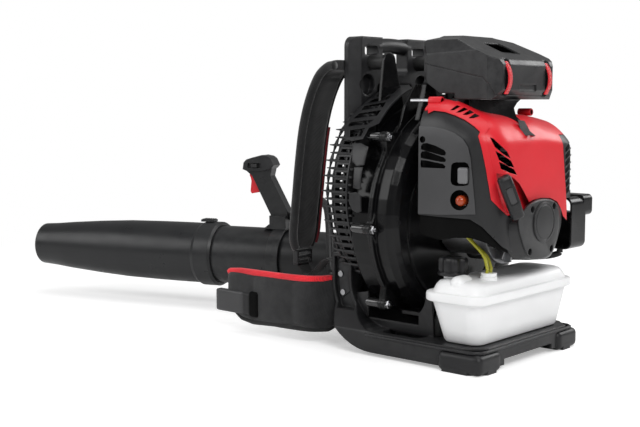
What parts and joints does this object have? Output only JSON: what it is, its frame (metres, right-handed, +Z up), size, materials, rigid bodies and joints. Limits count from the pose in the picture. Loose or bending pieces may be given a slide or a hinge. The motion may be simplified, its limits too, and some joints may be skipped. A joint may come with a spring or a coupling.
{
  "type": "backpack leaf blower",
  "caption": "Backpack leaf blower: engine-driven fan on a wearable frame with padded straps, a waist belt and a swinging blow tube with a throttle grip.",
  "frame": {"origin": "on the floor, at the middle of the base keel's underside", "axes": "+X to the rear (engine and fuel tank side), -X towards the wearer and along the blow tube, +Y to the wearer's right (tube side), +Z up"},
  "size_m": [1.1718, 0.4133, 0.503],
  "materials": {
    "frame_plastic": "satin",
    "housing_plastic": "satin",
    "tube_plastic": "satin",
    "cover_red": "satin",
    "cover_grey": "satin",
    "tank_white": "matte",
    "grip_rubber": "matte",
    "cast_metal": "satin",
    "steel": "satin",
    "dark_steel": "satin",
    "padding": "matte",
    "paper": "matte",
    "line_yellow": "satin",
    "rope": "matte"
  },
  "bodies": {
    "frame_and_engine": {"base_frame": "frame_plastic", "back_frame": "frame_plastic", "belt_plates": "dark_steel", "frame_rivets": "steel", "back_pad": "padding", "isolators": "grip_rubber", "intake_guard": "frame_plastic", "housing_front": "housing_plastic", "housing_rear": "housing_plastic", "housing_screws": "steel", "elbow": "housing_plastic", "elbow_clamp": "steel", "main_bearings": "steel", "crankcase": "cast_metal", "engine_cylinder": "cast_metal", "spark_plug": "steel", "plug_lead": "grip_rubber", "ignition_coil": "housing_plastic", "muffler": "dark_steel", "muffler_guard": "housing_plastic", "carburettor": "cast_metal", "intake_duct": "grip_rubber", "filter_base": "cover_grey", "filter_element": "paper", "red_cover": "cover_red", "side_cover": "cover_grey", "louvre_cover": "housing_plastic", "starter_housing": "cover_grey", "starter_rope": "rope", "fuel_tank": "tank_white", "tank_grommet": "tank_white", "fuel_lines": "line_yellow", "drain_hose": "grip_rubber", "bellows_rear": "grip_rubber", "conduit_rear": "cover_grey", "shoulder_straps": "padding", "harness_webbing": "padding", "waist_belt": "padding"},
    "rotor": {"impeller": "housing_plastic", "crankshaft": "steel", "flywheel": "cast_metal"},
    "piston": {"piston": "cast_metal"},
    "starter_pulley": {"starter_pulley": "tank_white"},
    "starter_grip": {"starter_grip": "grip_rubber"},
    "choke": {"choke_knob": "cover_grey"},
    "primer": {"primer_bulb": "cover_red"},
    "filter_cover": {"filter_cover": "cover_grey"},
    "latch_left": {"latch_left": "cover_red"},
    "latch_right": {"latch_right": "cover_red"},
    "fuel_cap": {"fuel_cap": "housing_plastic"},
    "bellows_middle": {"bellows_ring": "grip_rubber", "bellows_front": "grip_rubber"},
    "wand": {"control_tube": "tube_plastic", "tube_clamp": "steel", "grip_body": "tube_plastic", "conduit_front": "cover_grey"},
    "trigger": {"trigger": "cover_red"},
    "stop_switch": {"stop_switch": "cover_grey"},
    "nozzle": {"nozzle": "tube_plastic"},
    "nozzle_latch": {"nozzle_latch": "tube_plastic"}
  },
  "joints": [
    {"name": "rotor_spin", "type": "hinge", "parent": "frame_and_engine", "child": "rotor", "pos_m": [0, 0.008, 0.202], "axis": [1, 0, 0], "continuous": true},
    {"name": "piston_stroke", "type": "slide", "parent": "frame_and_engine", "child": "piston", "axis": [0, 0, 1], "range_m": [0, 0.035]},
    {"name": "starter_pull", "type": "slide", "parent": "frame_and_engine", "child": "starter_grip", "axis": [0.662, -0.7222, 0.2006], "range_m": [0, 0.6], "stiffness_N_per_m": 4, "springref_m": -0.3, "deforming": ["starter_rope"]},
    {"name": "pulley_spin", "type": "hinge", "parent": "frame_and_engine", "child": "starter_pulley", "pos_m": [0.124, 0.008, 0.202], "axis": [1, 0, 0], "range_deg": [0, 1500]},
    {"name": "choke_pull", "type": "slide", "parent": "frame_and_engine", "child": "choke", "axis": [0, -1, 0], "range_m": [0, 0.01]},
    {"name": "primer_press", "type": "slide", "parent": "frame_and_engine", "child": "primer", "axis": [0, 1, 0], "range_m": [0, 0.004], "stiffness_N_per_m": 1500},
    {"name": "filter_cover_lift", "type": "slide", "parent": "frame_and_engine", "child": "filter_cover", "axis": [0, 0, 1], "range_m": [0, 0.09]},
    {"name": "latch_left_swing", "type": "hinge", "parent": "filter_cover", "child": "latch_left", "pos_m": [0.1235, -0.052, 0.415], "axis": [0, 1, 0], "range_deg": [0, 70]},
    {"name": "latch_right_swing", "type": "hinge", "parent": "filter_cover", "child": "latch_right", "pos_m": [0.1235, 0.064, 0.415], "axis": [0, 1, 0], "range_deg": [0, 70]},
    {"name": "fuel_cap_turn", "type": "hinge", "parent": "frame_and_engine", "child": "fuel_cap", "pos_m": [0.066, -0.098, 0.14], "axis": [0, 0, 1], "range_deg": [0, 360]},
    {"name": "tube_swing", "type": "hinge", "parent": "frame_and_engine", "child": "bellows_middle", "pos_m": [-0.14451, 0.15924, 0.1], "axis": [0, 0, -1], "range_deg": [-4, 36], "deforming": ["bellows_rear", "conduit_rear"]},
    {"name": "tube_tilt", "type": "hinge", "parent": "bellows_middle", "child": "wand", "pos_m": [-0.21393, 0.13669, 0.1], "axis": [-0.309, 0.9511, 0], "range_deg": [-12, 12], "deforming": ["bellows_front", "conduit_front"]},
    {"name": "trigger_squeeze", "type": "hinge", "parent": "wand", "child": "trigger", "pos_m": [-0.49735, 0.0446, 0.258], "axis": [0.309, -0.9511, 0], "range_deg": [0, 16], "stiffness_Nm_per_rad": 0.6, "springref_deg": -11.46},
    {"name": "stop_switch_slide", "type": "slide", "parent": "wand", "child": "stop_switch", "axis": [-0.9511, -0.309, 0], "range_m": [0, 0.006]},
    {"name": "nozzle_slide", "type": "slide", "parent": "wand", "child": "nozzle", "axis": [-0.9511, -0.309, 0], "range_m": [0, 0.06]},
    {"name": "nozzle_latch_slide", "type": "slide", "parent": "nozzle", "child": "nozzle_latch", "axis": [0.9511, 0.309, 0], "range_m": [0, 0.006], "stiffness_N_per_m": 400}
  ],
  "couplings": [
    {"joint": "pulley_spin", "follows": "starter_pull", "rad_per_m": 40}
  ]
}
